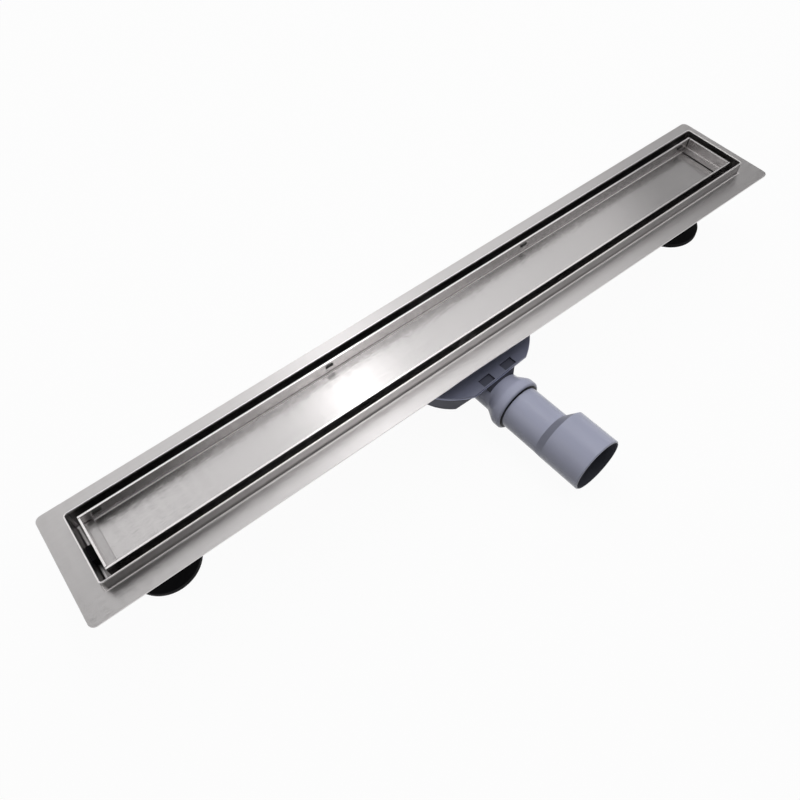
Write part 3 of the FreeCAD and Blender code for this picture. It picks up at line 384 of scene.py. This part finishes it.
def zinc_plated(name, colour):
    """Bright zinc plate, a little clouded."""
    finish = Finish(name, Metallic=1.0)
    place = finish.place()
    clouds = finish.noise(place, scale=160, detail=3)
    finish.set("Base Color", finish.blend(finish.spread(clouds, 0.35, 0.65), shade(colour, 0.82), shade(colour)))
    finish.set("Roughness", finish.spread(clouds, 0.3, 0.7, 0.28, 0.45))
    finish.set("Normal", finish.bump(finish.noise(place, scale=900), strength=0.12, distance=0.0002))
    return finish


def moulded(name, colour, roughness, density=1.5, zones=()):
    """Moulded plastic with faint flow marks and a fine skin."""
    finish = Finish(name, IOR=density)
    place = finish.place()
    clouds = finish.noise(place, scale=14, detail=3)
    flow = finish.noise(finish.scaled(place, (60, 9, 60)), detail=3)
    marks = finish.spread(clouds * 0.5 + flow * 0.5, 0.35, 0.65)
    tone = finish.blend(marks, shade(colour, 0.95), shade(colour, 1.04))
    gloss = finish.spread(flow, 0.3, 0.7, roughness - 0.03, roughness + 0.03)
    finish.colour_zones(place, colour, tone, gloss, zones)
    waves = finish.bump(finish.noise(place, scale=70), strength=0.05, distance=0.0006)
    skin = finish.noise(place, scale=1400)
    finish.set("Normal", finish.bump(skin, strength=0.03, distance=0.00025, under=waves))
    return finish


def rubbery(name, colour, roughness):
    """Black rubber with a fine matt skin and a little dust in its hollows."""
    finish = Finish(name, IOR=1.2)
    place = finish.place()
    clouds = finish.noise(place, scale=60, detail=4, roughness=0.65)
    dusty = shade(part * 1.6 + 0.001 for part in colour)
    finish.set("Base Color", finish.blend(finish.spread(clouds, 0.45, 0.75), shade(colour), dusty))
    finish.set("Roughness", finish.spread(clouds, 0.3, 0.7, roughness - 0.06, roughness + 0.08))
    finish.set("Normal", finish.bump(finish.noise(place, scale=1100, detail=3), strength=0.25, distance=0.0003))
    return finish


def beyond(finish, place, half_length, half_width):
    """How far a place lies outside an upright box on the middle of the drain."""
    length = abs(finish.part(place, "X")) - half_length
    width = abs(finish.part(place, "Y")) - half_width
    return width.larger(length)


def trough_painted_shade(finish, place):
    """The long walls and floor of the trough under the frame's rim, painted darker: painted shade in the gaps beside
    the tray.
    """
    half_width = FRAME_HALF_WIDTH - FRAME_SHEET + PAST_FACE
    outside = beyond(finish, place, FRAME_HALF_LENGTH - 3 * FRAME_SHEET, half_width)
    under_rim = finish.below(finish.part(place, "Z"), FRAME_TOP - 0.002, edge=0.001)
    upward = finish.spread(finish.part(finish.normal(), "Z"), -0.6, -0.3)
    return finish.below(outside, 0, edge=0.0002) * under_rim * upward


def frame_foot_painted_shade(finish, place):
    """The foot of the frame's outer face, painted darker: painted shade in the crease above the flange."""
    outer = finish.between(beyond(finish, place, FRAME_HALF_LENGTH, FRAME_HALF_WIDTH), -0.0002, 0.0002)
    return outer * finish.spread(finish.part(place, "Z"), 0.0008, 0.0050, 1, 0)


def frame_root_painted_highlight(finish, place):
    """The fold between the frame and the flange, rougher and painted lighter: a painted highlight."""
    outer = finish.between(beyond(finish, place, FRAME_HALF_LENGTH, FRAME_HALF_WIDTH), -0.0001, 0.0008)
    return outer * finish.between(finish.part(place, "Z"), -0.0002, 0.0006)


def upper_rim_painted_highlight(finish, place):
    """The ground upper edges of frame and tray, painted lighter: a painted highlight."""
    return finish.between(finish.part(place, "Z"), TRAY_HIGH[2] - PAST_FACE, FRAME_TOP + 0.0005)


def tray_outside_painted_shade(finish, place):
    """The outer faces and cut edges of the tray's walls, painted darker: painted shade in the gaps between tray and
    trough.
    """
    outside = beyond(finish, place, TRAY_HIGH[0] - 0.0007, TRAY_WALL + 0.00025)
    return finish.above(outside, 0) * finish.below(finish.part(place, "Z"), 0.0090, edge=0.0010)


def on_tray_wall(finish, place):
    """A mask of the inner faces of the tray's long walls."""
    return finish.between(abs(finish.part(place, "Y")), TRAY_WALL - FACE_LAYER, TRAY_WALL + FACE_LAYER)


def tray_fold_painted_highlight(finish, place):
    """The fold along the foot of the tray's long walls, rougher and painted lighter: a painted highlight."""
    fold = finish.between(abs(finish.part(place, "Y")), TRAY_WALL - 2 * TRAY_FOLD - 0.00005, TRAY_WALL + 0.00005)
    return fold * finish.between(finish.part(place, "Z"), TRAY_FLOOR - PAST_FACE, TRAY_FLOOR + TRAY_FOLD)


def wall_foot_painted_shade(finish, place):
    """A painted dark line on the tray's long walls, just over the fold: painted shade in the crease."""
    over_fold = TRAY_FLOOR + TRAY_FOLD
    return on_tray_wall(finish, place) * finish.between(finish.part(place, "Z"), over_fold, over_fold + PAINTED_SHADE_LINE)


def tray_wall_painted_light(finish, place):
    """The inner faces of the tray's long walls over the painted shade line, painted lighter: painted light on the
    walls.
    """
    over_line = TRAY_FLOOR + TRAY_FOLD + PAINTED_SHADE_LINE + PAST_FACE
    return on_tray_wall(finish, place) * finish.above(finish.part(place, "Z"), over_line, edge=0.0003)


def slot_painted_shade(finish, place):
    """The cut faces and hoods of the lanced slots, rougher and painted dark: painted shade in the slots."""
    length = abs(finish.part(place, "X"))
    near = finish.between(length, SLOT_NEAR - SLOT_HALF_LENGTH, SLOT_NEAR + SLOT_HALF_LENGTH)
    far = finish.between(length, SLOT_FAR - SLOT_HALF_LENGTH, SLOT_FAR + SLOT_HALF_LENGTH)
    hood = finish.above(abs(finish.part(place, "Y")), HOOD_FACE, edge=0.0002)
    return (near + far) * hood * finish.between(finish.part(place, "Z"), SLOT_LOW, SLOT_HIGH)


def end_bend_painted_highlight(finish, place):
    """The bend at the foot of the tray's right end wall, rougher and painted lighter: a painted highlight."""
    bend = finish.between(finish.part(place, "X"), END_WALL - 0.0007, END_WALL + 0.0001)
    return bend * finish.between(finish.part(place, "Z"), FOOT_TOP - 0.0008, FOOT_TOP + 0.0006)


def left_foot_painted_shade(finish, place):
    """The foot of the tray's left end wall, painted darker: painted shade on its top."""
    foot = finish.between(finish.part(place, "X"), 0.0005 - TRAY_HIGH[0], PAST_FACE - END_FOOT)
    top = finish.between(finish.part(place, "Z"), FOOT_TOP - 0.0006, FOOT_TOP + 0.0006)
    return foot * top * finish.spread(finish.part(finish.normal(), "Z"), 0.5, 0.9)


def outlet_way(finish, place):
    """How far a place lies along and beside the turned outlet of the trap."""
    x, y = finish.part(place, "X") - OUTLET_SHIFT, finish.part(place, "Y")
    sine, cosine = math.sin(OUTLET_TURN), math.cos(OUTLET_TURN)
    return x * sine - y * cosine, x * cosine + y * sine


def within_bore(finish, place, aside, radius):
    """A mask of the places nearer to the outlet's axis than a radius."""
    height = finish.part(place, "Z") - OUTLET_LEVEL
    reach = height.sum_of("SQRT", aside * aside + height * height)
    return finish.below(reach, radius)


def spigot_inside(finish, place):
    """The shaded inside of the pipe's larger end."""
    along, aside = outlet_way(finish, place)
    bore = within_bore(finish, place, aside - SPIGOT_ASIDE, SPIGOT_BORE)
    return bore * finish.above(along, SPIGOT_START, edge=0.0005)


def neck_inside(finish, place):
    """The shaded inside of the pipe's smaller end."""
    along, aside = outlet_way(finish, place)
    bore = within_bore(finish, place, aside - NECK_ASIDE, NECK_BORE)
    return bore * finish.below(along, SPIGOT_START, edge=0.0005)


def reducer_painted_shade(finish, place):
    """The band where the pipe widens, rougher and painted darker: painted shade on its cone."""
    along, _ = outlet_way(finish, place)
    return finish.between(along, REDUCER_START, REDUCER_END, edge=0.0003)


def bowl_painted_shade(finish, place):
    """The bowl behind the stub, rougher and painted darker: painted shade under the flange."""
    along, aside = outlet_way(finish, place)
    stub = within_bore(finish, place, aside - NECK_ASIDE, STUB_RADIUS) * finish.above(along, STUB_ROOT, edge=0.0005)
    return finish.below(along, STUB_END, edge=0.0003) * (1 - stub)


def lower_side_painted_shade(finish, place):
    """The sides and underside of stub, socket and pipe, painted darker the less they face up: painted shade."""
    return finish.spread(finish.part(finish.normal(), "Z"), -0.1, 0.9, 1, 0)


def lid_pockets(finish, place):
    """The shaded pockets in the lid's front edge."""
    along, aside = outlet_way(finish, place)
    pocket = finish.between(abs(aside), *POCKET_ASIDE) * finish.between(along, *POCKET_ALONG)
    return pocket * finish.below(finish.part(place, "Z"), LID_TOP - 0.0004)


def lid_edge_painted_highlight(finish, place):
    """The lower edge of the lid, painted lighter: a painted highlight."""
    return finish.between(finish.part(place, "Z"), LID_TOP - 0.0029, LID_TOP - 0.0017)


# Zones of each finish: where, the share of the finish's colour and the added roughness
SHEET_ZONES = ((trough_painted_shade, 0.4, 0), (frame_foot_painted_shade, 0.3, 0), (frame_root_painted_highlight, 1.5, 0.5), (upper_rim_painted_highlight, 1.5, 0))
TRAY_ZONES = ((tray_outside_painted_shade, 0.4, 0), (tray_wall_painted_light, 1.15, 0), (wall_foot_painted_shade, 0.5, 0), (tray_fold_painted_highlight, 1.5, 0.4),
              (slot_painted_shade, 0.1, 0.3), (end_bend_painted_highlight, 1.5, 0.5), (left_foot_painted_shade, 0.8, 0), (upper_rim_painted_highlight, 1.5, 0))
LID_ZONES = ((lid_edge_painted_highlight, 2.2, 0), (lid_pockets, 0.45, 0.3))
TRAP_ZONES = ((lower_side_painted_shade, 0.4, 0), (bowl_painted_shade, 0.14, 0.5))
PIPE_ZONES = ((lower_side_painted_shade, 0.4, 0), (reducer_painted_shade, 0.45, 0.2), (neck_inside, 0.15, 0.4), (spigot_inside, 0.15, 0.4))


def edit(piece):
    """Start editing one piece with nothing selected."""
    bpy.ops.object.select_all(action="DESELECT")
    bpy.context.view_layer.objects.active = piece
    piece.select_set(True)
    bpy.ops.object.mode_set(mode="EDIT")
    bpy.ops.mesh.select_mode(type="VERT")
    bpy.ops.mesh.select_all(action="DESELECT")


def choose(piece, test):
    """Select the points of the piece being edited that pass a test."""
    bpy.ops.mesh.select_all(action="DESELECT")
    bpy.ops.object.mode_set(mode="OBJECT")
    for point in piece.data.vertices:
        point.select = test(point)
    bpy.ops.object.mode_set(mode="EDIT")


def finish_piece(piece, material, smooth_angle=40):
    """Close the edit, keep normals outward and hand the piece over."""
    bpy.ops.mesh.select_all(action="SELECT")
    bpy.ops.mesh.normals_make_consistent(inside=False)
    bpy.ops.object.mode_set(mode="OBJECT")
    bpy.ops.object.shade_smooth_by_angle(angle=math.radians(smooth_angle))
    bpy.ops.object.transform_apply(location=True, rotation=True, scale=True)
    piece.data.materials.clear()
    piece.data.materials.append(bpy.data.materials[material])
    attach(piece, "root")


def threaded_rod(name, node, pitch, depth):
    """A rod with a real thread, cut square at both ends, in place of the plain one."""
    low, high = box_of(node)
    middle = [(low[axis] + high[axis]) / 2 for axis in range(2)]
    root = (high[0] - low[0]) / 2 - depth
    inside = root - pitch / 2

    bpy.ops.object.select_all(action="DESELECT")
    bpy.ops.mesh.primitive_plane_add(size=pitch, rotation=(math.pi / 2, 0, 0), location=(inside, 0, 0))
    rod = bpy.context.object
    rod.name = name
    bpy.ops.object.transform_apply(location=True, rotation=True, scale=True)
    edit(rod)
    choose(rod, lambda point: point.co.x < inside)
    bpy.ops.mesh.delete(type="VERT")
    bpy.ops.mesh.select_all(action="SELECT")
    bpy.ops.mesh.subdivide(number_cuts=THREAD_PARTS - 1)
    part = pitch / THREAD_PARTS
    for step in range(FLANK_STEPS):
        choose(rod, lambda point: abs(abs(point.co.z) - step * part) < part / 4)
        bpy.ops.transform.translate(value=(depth * (1 - step / FLANK_STEPS), 0, 0))
    bpy.ops.object.mode_set(mode="OBJECT")

    screw = rod.modifiers.new("thread", "SCREW")
    screw.screw_offset = pitch
    screw.iterations = math.ceil((high[2] - low[2]) / pitch) + 3
    screw.steps = TURN_STEPS
    screw.render_steps = TURN_STEPS
    bpy.ops.object.modifier_apply(modifier=screw.name)
    edit(rod)
    bpy.ops.mesh.select_all(action="SELECT")
    bpy.ops.mesh.remove_doubles(threshold=pitch / 500)
    bpy.ops.transform.translate(value=(*middle, low[2] - 1.5 * pitch))
    for level, out in ((low[2], -1), (high[2], 1)):
        bpy.ops.mesh.select_all(action="SELECT")
        bpy.ops.mesh.bisect(plane_co=(*middle, level), plane_no=(0, 0, out), use_fill=True, clear_outer=True)
    finish_piece(rod, "zinc steel")
    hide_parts(node)


def weld_bead(name, node, size, ripples):
    """A rippled bead that runs round the top of a weld nut."""
    low, high = box_of(node)
    reach = (high[1] - low[1]) / 2 + size / 3
    middle = ((low[0] + high[0]) / 2, (low[1] + high[1]) / 2, high[2] - size / 4)
    rings = len(RIPPLE_RISES) + 1
    bpy.ops.object.select_all(action="DESELECT")
    bpy.ops.mesh.primitive_torus_add(major_segments=rings * ripples, minor_segments=BEAD_SIDES,
                                     major_radius=reach, minor_radius=size, location=middle)
    bead = bpy.context.object
    bead.name = name
    edit(bead)
    for ring, rise in enumerate(RIPPLE_RISES, start=1):
        choose(bead, lambda point: point.index // BEAD_SIDES % rings == ring)
        bpy.ops.transform.shrink_fatten(value=size * rise)
    finish_piece(bead, "weld steel", smooth_angle=60)


def softbox(name, place, length, width, brightness):
    """A rectangular lamp of a given brightness that faces the drain, its length along the drain."""
    back = Vector(place).normalized()
    along = (Vector((1, 0, 0)) - back * back.x).normalized()
    turn = Matrix((along, back.cross(along), back)).transposed().to_euler()
    bpy.ops.object.light_add(type="AREA", location=place, rotation=turn)
    lamp = bpy.context.object
    lamp.name = name
    lamp.data.shape = "RECTANGLE"
    lamp.data.size = length
    lamp.data.size_y = width
    lamp.data.energy = brightness * math.pi * length * width


def white_when_seen():
    """A pale matt finish that camera, metal and glass see as white, and that keeps its shadows."""
    finish = Finish("floor", Roughness=0.9, Base_Color=shade((FLOOR_GREY,) * 3))
    glow = finish.node("ShaderNodeEmission", {}, {"Color": shade((1, 1, 1)), "Strength": 1.0})
    camera, metal, glass = (finish.node("ShaderNodeLightPath", {}, {}, out=kind)
                            for kind in ("Is Camera Ray", "Is Glossy Ray", "Is Transmission Ray"))
    seen = camera.larger(metal).larger(glass)
    surface = Wire(finish, finish.shader.outputs[0])
    mixed = finish.node("ShaderNodeMixShader", {}, {0: seen * WHITE_SEEN, 1: surface, 2: glow})
    finish.plug(finish.tree.nodes["Material Output"].inputs["Surface"], mixed)
    return finish


def pale_studio(level):
    """A floor at a level and a low round backdrop far behind it."""
    bpy.ops.mesh.primitive_plane_add(size=FLOOR_SIZE, location=(0, 0, level))
    floor = bpy.context.object
    floor.name = "floor"
    bpy.ops.mesh.primitive_cylinder_add(vertices=96, radius=BACKDROP_RADIUS, depth=BACKDROP_HEIGHT,
                                        end_fill_type="NOTHING", location=(0, 0, level + BACKDROP_HEIGHT / 2))
    backdrop = bpy.context.object
    backdrop.name = "backdrop"
    finish = white_when_seen()
    for item in (floor, backdrop):
        bpy.ops.object.select_all(action="DESELECT")
        item.select_set(True)
        bpy.ops.object.transform_apply(location=True, rotation=True, scale=True)
        item.data.materials.append(finish.material)


def dim_world():
    """A plain white world at a low level."""
    world = bpy.data.worlds.new("studio")
    world.use_nodes = True
    background = world.node_tree.nodes["Background"]
    background.inputs["Color"].default_value = shade((1, 1, 1))
    background.inputs["Strength"].default_value = WORLD_LEVEL
    return world


def photo_camera():
    """The camera of the photograph, a little rolled."""
    ahead = (CAMERA_TARGET - CAMERA_PLACE).normalized()
    level = ahead.cross(Vector((0, 0, 1))).normalized()
    below = ahead.cross(level)
    right = math.cos(CAMERA_ROLL) * level + math.sin(CAMERA_ROLL) * below
    down = math.cos(CAMERA_ROLL) * below - math.sin(CAMERA_ROLL) * level
    bpy.ops.object.camera_add(location=CAMERA_PLACE)
    camera = bpy.context.object
    camera.name = "camera"
    camera.rotation_euler = Matrix((right, -down, -ahead)).transposed().to_euler()
    camera.data.sensor_width = CAMERA_SENSOR
    camera.data.lens = CAMERA_LENS
    return camera


class DRAIN_OT_steel(bpy.types.Operator):
    """Give the channel, the tray and the steel fittings their brushed finish"""

    bl_idname = "drain.steel"
    bl_label = "Brushed steel"

    def execute(self, context):
        colour = tuple(context.scene.drain_colours.steel)
        brushed("channel steel", colour, roughness=0.29, tilt=1.3, zones=SHEET_ZONES).onto(STEEL_SHEET)
        brushed("tray steel", colour, roughness=0.21, tilt=1.3, zones=TRAY_ZONES).onto(STEEL_TRAY)
        brushed("fitting steel", colour, roughness=0.28, tilt=1.0).onto(STEEL_FITTING)
        return {"FINISHED"}


class DRAIN_OT_fasteners(bpy.types.Operator):
    """Give screws, nuts and rods their zinc plate"""

    bl_idname = "drain.fasteners"
    bl_label = "Zinc-plated fasteners"

    def execute(self, context):
        zinc_plated("zinc steel", tuple(context.scene.drain_colours.zinc)).onto(ZINC)
        return {"FINISHED"}


class DRAIN_OT_threads(bpy.types.Operator):
    """Cut the real threads of the foot rods"""

    bl_idname = "drain.threads"
    bl_label = "Foot rod threads"

    def execute(self, context):
        sizes = context.scene.drain_sizes
        for side in SIDES:
            threaded_rod(f"thread_{side}", f"foot_rod_{side}", sizes.thread_pitch, sizes.thread_depth)
        return {"FINISHED"}


class DRAIN_OT_welds(bpy.types.Operator):
    """Run a weld bead round each weld nut under the channel"""

    bl_idname = "drain.welds"
    bl_label = "Weld beads"

    def execute(self, context):
        sizes = context.scene.drain_sizes
        zinc_plated("weld steel", tuple(part * 0.8 for part in context.scene.drain_colours.zinc))
        for side in SIDES:
            weld_bead(f"weld_{side}", f"foot_boss_{side}", sizes.weld_size, sizes.weld_ripples)
        return {"FINISHED"}


class DRAIN_OT_plastics(bpy.types.Operator):
    """Give the trap, the pipe and the cup their plastics"""

    bl_idname = "drain.plastics"
    bl_label = "Plastics"

    def execute(self, context):
        colours = context.scene.drain_colours
        # The lid's darker colour is painted shade from the flange over it.
        lid = moulded("lid plastic", tuple(colours.lid), roughness=0.30, density=1.35, zones=LID_ZONES)
        trap = moulded("trap plastic", tuple(colours.trap), roughness=0.24, density=1.3, zones=TRAP_ZONES)
        pipe = moulded("pipe plastic", tuple(colours.pipe), roughness=0.22, density=1.38, zones=PIPE_ZONES)
        insert = moulded("insert plastic", tuple(colours.insert), roughness=0.40)
        for finish, nodes in ((lid, LID_PLASTIC), (trap, TRAP_PLASTIC), (pipe, PIPE_PLASTIC), (insert, INSERT_PLASTIC)):
            finish.onto(nodes)
        return {"FINISHED"}


class DRAIN_OT_rubbers(bpy.types.Operator):
    """Give pads, spacers and seals their rubber"""

    bl_idname = "drain.rubbers"
    bl_label = "Rubber"

    def execute(self, context):
        colour = tuple(context.scene.drain_colours.rubber)
        rubbery("seal rubber", colour, roughness=0.45).onto(SEAL_RUBBER)
        rubbery("foot rubber", colour, roughness=0.7).onto(FOOT_RUBBER)
        return {"FINISHED"}


class DRAIN_OT_stage(bpy.types.Operator):
    """Set up the floor, the lamps, the world and the camera"""

    bl_idname = "drain.stage"
    bl_label = "Studio"

    def execute(self, context):
        scene = context.scene
        scene.view_settings.view_transform = "Standard"
        pale_studio(CAD_BOX[0][2])
        scene.world = dim_world()
        for lamp in LAMPS:
            softbox(*lamp)
        scene.camera = photo_camera()
        return {"FINISHED"}


class DRAIN_PT_panel(bpy.types.Panel):
    """Lists the pieces, finishes and sizes of the drain"""

    bl_idname = "DRAIN_PT_panel"
    bl_label = "Shower drain"
    bl_space_type = "VIEW_3D"
    bl_region_type = "UI"
    bl_category = "Drain"

    def draw(self, context):
        layout = self.layout
        for operator in OPERATORS:
            layout.operator(operator.bl_idname)
        for group in (context.scene.drain_sizes, context.scene.drain_colours):
            for name in group.bl_rna.properties.keys():
                if name not in ("rna_type", "name"):
                    layout.prop(group, name)


OPERATORS = (DRAIN_OT_steel, DRAIN_OT_fasteners, DRAIN_OT_threads, DRAIN_OT_welds, DRAIN_OT_plastics,
             DRAIN_OT_rubbers, DRAIN_OT_stage)
CLASSES = (DrainSizes, DrainColours, *OPERATORS, DRAIN_PT_panel)


def register():
    for item in CLASSES:
        bpy.utils.register_class(item)
    bpy.types.Scene.drain_sizes = PointerProperty(type=DrainSizes)
    bpy.types.Scene.drain_colours = PointerProperty(type=DrainColours)


def unregister():
    del bpy.types.Scene.drain_colours
    del bpy.types.Scene.drain_sizes
    for item in reversed(CLASSES):
        bpy.utils.unregister_class(item)


def main():
    register()
    bpy.ops.drain.steel()
    bpy.ops.drain.fasteners()
    bpy.ops.drain.threads()
    bpy.ops.drain.welds()
    bpy.ops.drain.plastics()
    bpy.ops.drain.rubbers()
    bpy.ops.drain.stage()


if __name__ == "__main__":
    main()
